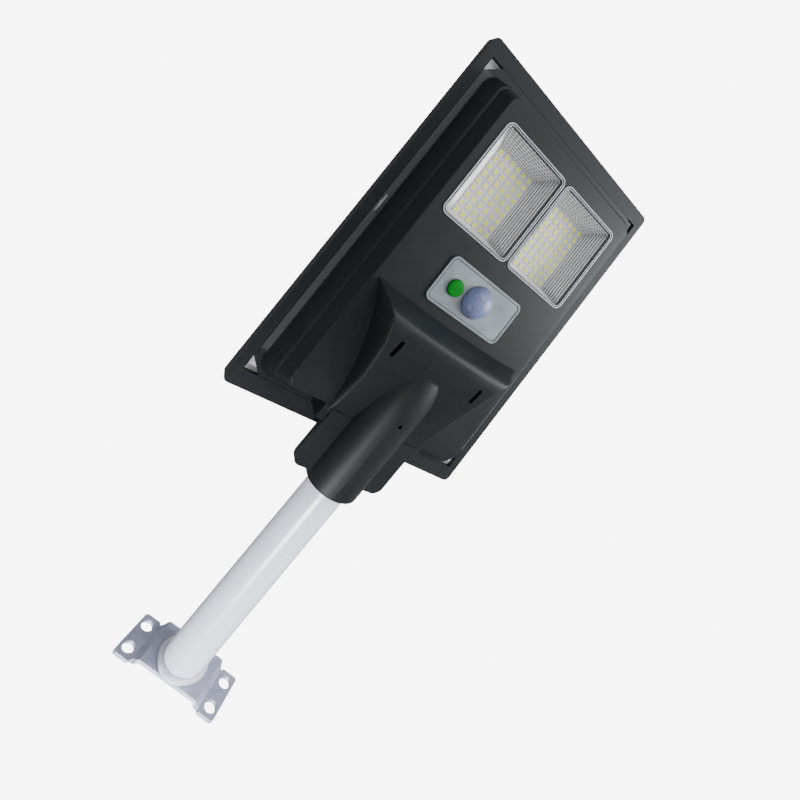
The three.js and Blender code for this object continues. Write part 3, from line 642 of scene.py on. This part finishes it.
# ---------------------------------------------------------------- sensor plate
# A satin light grey plate, pierced for the button and the sensor's dome and let into the face. A fine
# dark line runs round it just inside its edge.
plate_grey = finish(
    "satin_grey_plate",
    grained(colour("#727b80"), colour("#939ca0"), 1800.0, 0.00006, 0.35, 0.5, 60.0),
    Metallic=0.3,
)
sensor_plate = refined("sensor_plate", "switch_plate", "head", plate_grey, bevel=0.0003)
PLATE = {"x": 0, "y": 158.05, "half_x": 41.8, "half_y": 21.15, "radius": 6.0, "top": 24.8}
low_line, high_line = PLATE["top"] - 0.1, PLATE["top"] + 0.06
form = bmesh.new()
rings = []
for inset, z in ((2.1, low_line), (2.1, high_line), (2.55, high_line), (2.55, low_line)):
    loop = rounded_loop(PLATE["half_x"] - inset, PLATE["half_y"] - inset, PLATE["radius"] - inset)
    rings.append([form.verts.new((x, y, z)) for x, y in loop])
for k in range(4):
    bridge(form, rings[k], rings[(k + 1) % 4])
mesh = mesh_of(form, "plate_line")
place = to_frame @ Matrix.Translation((PLATE["x"], PLATE["y"], 0))
plate_line = keep(mesh, "plate_line", "head", [], place, [groove_dark])

# ---------------------------------------------------------------- push button
# A round green push button with a slightly domed cap. A collar behind the face keeps it in, and it
# slides in by a millimetre towards the switch.
green = finish(
    "green_cap",
    grained(colour("#006a18"), colour("#008024"), 900.0, 0.00004, 0.4, 0.5, 90.0),
    Specular_IOR_Level=0.08,
)


def circle(form, radius, z, sides):
    ring = []
    for k in range(sides):
        angle = 2 * math.pi * k / sides
        ring.append(form.verts.new((radius * math.cos(angle), radius * math.sin(angle), z)))
    return ring


def turned(profile, sides, name):
    """A closed turned form about +Z from a profile of (radius, height), from its lowest point up."""
    form = bmesh.new()
    rings = []
    for radius, z in profile:
        if radius == 0:
            rings.append([form.verts.new((0, 0, z))])
            continue
        rings.append(circle(form, radius, z, sides))
    for here, there in zip(rings, rings[1:]):
        for a in range(sides):
            b = (a + 1) % sides
            if len(here) == 1:
                form.faces.new((here[0], there[b], there[a]))
            elif len(there) == 1:
                form.faces.new((here[a], here[b], there[0]))
            else:
                form.faces.new((here[a], here[b], there[b], there[a]))
    return mesh_of(form, name, 35)


cap_profile = [
    (0, 15.9), (2.0, 15.9), (2.0, 18.9), (8.8, 18.9), (8.8, 21.1), (7.3, 21.1), (7.3, 26.2), (7.2, 26.6),
    (6.9, 26.95), (6.3, 27.15), (5.2, 27.3), (3.6, 27.45), (1.8, 27.55), (0, 27.58),
]
place = to_frame @ Matrix.Translation((-23.5, 157, 0))
cap = keep(turned(cap_profile, 64, "cap"), "green_button_cap", "button", ["power_button"], place, [green])

# ---------------------------------------------------------------- sensor dome
# A thin milky plastic lens over the motion sensor, moulded with rings of small lens facets. Its skirt
# stands in the hole of the sensor plate.
def milky(wire):
    cloud = noise(wire, 160.0, 4.0)
    rib = wire.node("ShaderNodeAttribute", {"attribute_name": "facet"}, output=2)
    return {
        "Base Color": (cloud * 0.8 + rib * 0.18).tint(colour("#59638c"), colour("#858eb6")),
        "Roughness": cloud * 0.1 + 0.36,
        "bump": (cloud, 0.00003, 0.3),
    }


dome_finish = finish("milky_dome", milky, Coat_Weight=0.1, Coat_Roughness=0.12, Specular_IOR_Level=0.35)
form = bmesh.new()
facet = form.verts.layers.float.new("facet")
sides, rings = 144, 40
shoulder, radius, height = 24.9, 14.2, 9.4
rows = []
for j in range(rings + 1):
    angle = (math.pi / 2) * j / rings
    row = []
    bands = 5.0 * j / rings
    cells_round = max(4, round(18 * math.cos((math.floor(min(bands, 4.99)) + 0.5) / 5 * math.pi / 2)))
    for k in range(1 if j == rings else sides):
        around = 2 * math.pi * k / sides
        ridge = abs(math.sin(math.pi * bands)) * abs(math.sin(cells_round * around / 2)) if j < rings else 1
        grow = 1 - 0.006 * (1 - ridge ** 0.5)
        r = radius * math.cos(angle) * grow
        z = shoulder + height * math.sin(angle) * grow
        vertex = form.verts.new((r * math.cos(around), r * math.sin(around), z))
        vertex[facet] = ridge
        row.append(vertex)
    rows.append(row)
base = [circle(form, r, z, sides) for r, z in ((11.9, 16.5), (12.7, 16.5), (12.7, 23.8), (14.2, 23.8))]
inner = [circle(form, r, z, sides) for r, z in ((5.4, 32.4), (9.2, 29.8), (11.6, 26.0))]
centre = form.verts.new((0, 0, 33.3))
stack = inner + base + rows[:-1]
for here, there in zip(stack, stack[1:]):
    bridge(form, here, there)
for a in range(sides):
    b = (a + 1) % sides
    form.faces.new((rows[-2][a], rows[-2][b], rows[-1][0]))
    form.faces.new((inner[0][b], inner[0][a], centre))
mesh = mesh_of(form, "dome", 25)
place = to_frame @ Matrix.Translation((1.5, 157.8, 0))
dome = keep(mesh, "facetted_dome", "head", ["sensor_dome"], place, [dome_finish])

# ---------------------------------------------------------------- clamp screws
# Four zinc plated cross-head screws draw the two halves of the sleeve together, from the solar side,
# and so clamp the tube.
screw_zinc = finish(
    "screw_zinc",
    grained(colour("#8b9095"), colour("#b9bec2"), 1200.0, 0.00004, 0.25, 0.42, 200.0),
    Metallic=0.9,
)


to_sleeve = to_frame @ Matrix.Translation((0, 0, TUBE_HEIGHT)) @ Matrix.Rotation(LEAN, 4, "X")


def cross_head(name, radius=3.2, height=2.3, length=6.5, shank=1.5):
    """A pan head screw with a cross recess. Its head stands on z = 0 and its shank points down."""
    form = bmesh.new()
    arm, half, deep = radius * 0.62, radius * 0.17, height * 0.55
    cross = [
        (half, half), (half, arm), (-half, arm), (-half, half), (-arm, half), (-arm, -half),
        (-half, -half), (-half, -arm), (half, -arm), (half, -half), (arm, -half), (arm, half),
    ]
    cross.reverse()
    sides = 24
    profile = [
        (shank, -length), (shank, 0), (radius, 0), (radius, height * 0.5),
        (radius * 0.93, height * 0.75), (radius * 0.78, height * 0.95), (radius * 0.72, height),
    ]
    rings = [circle(form, r, z, sides) for r, z in profile]
    for here, there in zip(rings, rings[1:]):
        bridge(form, here, there)
    form.faces.new(list(reversed(rings[0])))
    lip = [form.verts.new((x, y, height)) for x, y in cross]
    floor = [form.verts.new((x * 0.8, y * 0.8, height - deep)) for x, y in cross]
    rim = [form.edges.get((rings[-1][k], rings[-1][(k + 1) % sides])) for k in range(sides)]
    slot = [form.edges.new((lip[k], lip[(k + 1) % 12])) for k in range(12)]
    bmesh.ops.triangle_fill(form, edges=rim + slot, use_beauty=True, normal=(0, 0, 1))
    bridge(form, lip, floor)
    form.faces.new(list(reversed(floor)))
    bmesh.ops.recalc_face_normals(form, faces=form.faces)
    return mesh_of(form, name, 35)


for index, (x, y) in enumerate(((-35, -17), (-35, -6), (35, -17), (35, -6))):
    place = to_sleeve @ Matrix.Translation((x, y, -4.3)) @ Matrix.Rotation(math.pi, 4, "X")
    place = place @ Matrix.Rotation(math.radians(20 + 37 * index), 4, "Z")
    nodes = [f"clamp_screw_{index + 1}"]
    screw = keep(cross_head("screw"), f"cross_screw_{index + 1}", "head", nodes, place, [screw_zinc])

# ---------------------------------------------------------------- works inside the head
# Seal, boards, cells, switch, leads and the screws that hold them. They keep their modelled shapes,
# and show only when the head is opened.
inside = {
    "rubber": finish(
        "black_silicone", grained(colour("#242426"), colour("#353538"), 900.0, 0.00006, 0.6, 0.8)
    ),
    "sheet": finish(
        "mill_sheet", grained(colour("#b4b7ba"), colour("#d2d4d6"), 500.0, 0.00003, 0.25, 0.4), Metallic=0.9
    ),
    "mask": finish("green_mask", grained(colour("#0f4a26"), colour("#1b6a3a"), 700.0, 0.00005, 0.35, 0.5)),
    "sleeve": finish("blue_shrink", grained(colour("#1f4f96"), colour("#3169b8"), 300.0, 0.00003, 0.3, 0.4)),
    "red": finish("red_cover", grained(colour("#a01814"), colour("#c52a24"), 900.0, 0.00003, 0.4, 0.55)),
    "black": finish("black_cover", grained(colour("#151515"), colour("#242424"), 900.0, 0.00003, 0.4, 0.55)),
}
wears = {
    "shell_seal": "rubber", "panel_junction": "rubber", "push_switch": "rubber", "led_back_plate": "sheet",
    "control_board": "mask", "panel_lead_red": "red", "battery_lead_red": "red", "led_lead_left": "red",
    "led_lead_right": "red", "panel_lead_black": "black", "battery_lead_black": "black",
}
for index in range(1, 5):
    wears[f"battery_cell_{index}"] = "sleeve"
for node in ["sensor_can"] + [f"shell_screw_{k}" for k in range(1, 9)]:
    wears[node] = "steel"
for kind in ("back_plate_screw", "board_screw"):
    for k in range(1, 5):
        wears[f"{kind}_{k}"] = "steel"
wears["battery_cradle"] = "moulding"
inside["steel"], inside["moulding"] = screw_zinc, black_plastic
for node, word in wears.items():
    mesh = bpy.data.objects[node].data
    mesh.materials.clear()
    mesh.materials.append(inside[word])

# ---------------------------------------------------------------- floor and light
# A plain floor well below the lamp, and a pale surround that is brighter to the camera than to the
# lamp. Soft lights stand low on the right, at the foot, past the far end and high up.
form = bmesh.new()
bmesh.ops.create_grid(form, x_segments=1, y_segments=1, size=30.0)
mesh = mesh_of(form, "floor")
floor = bpy.data.objects.new("floor", mesh)
floor.location = (0, -0.3, -2.0)
bpy.context.scene.collection.objects.link(floor)
pale = grained(colour("#e9e9ea"), colour("#f4f4f5"), 60.0, 0.0001, 0.7, 0.8, 2.0)
mesh.materials.append(finish("pale_floor", pale))

world = bpy.data.worlds.new("surround")
world.use_nodes = True
tree = world.node_tree
seen = tree.nodes.new("ShaderNodeLightPath")
strength = tree.nodes.new("ShaderNodeMix")
strength.inputs["A"].default_value = 0.42
strength.inputs["B"].default_value = 7.5
background = tree.nodes["Background"]
background.inputs[0].default_value = (1.0, 1.0, 1.0, 1)
tree.links.new(seen.outputs["Is Camera Ray"], strength.inputs["Factor"])
tree.links.new(strength.outputs["Result"], background.inputs[1])
bpy.context.scene.world = world


def soft_light(name, place, target, size, power, spread=180):
    data = bpy.data.lights.new(name, "AREA")
    data.shape = "RECTANGLE"
    data.size, data.size_y = size
    data.energy = power
    data.spread = math.radians(spread)
    lamp = bpy.data.objects.new(name, data)
    lamp.location = place
    lamp.rotation_euler = (Vector(target) - Vector(place)).to_track_quat("-Z", "Y").to_euler()
    bpy.context.scene.collection.objects.link(lamp)


soft_light("right_low", (1.1, -0.75, -0.5), (0, -0.35, 0), (0.6, 0.6), 24)
soft_light("near_low", (-0.28, 0.3, -0.7), (0, -0.03, 0), (0.25, 0.25), 0.9, 38)
soft_light("far_low", (0.3, -1.5, -0.8), (0, -0.35, 0), (0.8, 0.5), 9)
soft_light("high", (0.9, 0.3, 1.6), (0, -0.3, 0), (1.6, 1.6), 20)
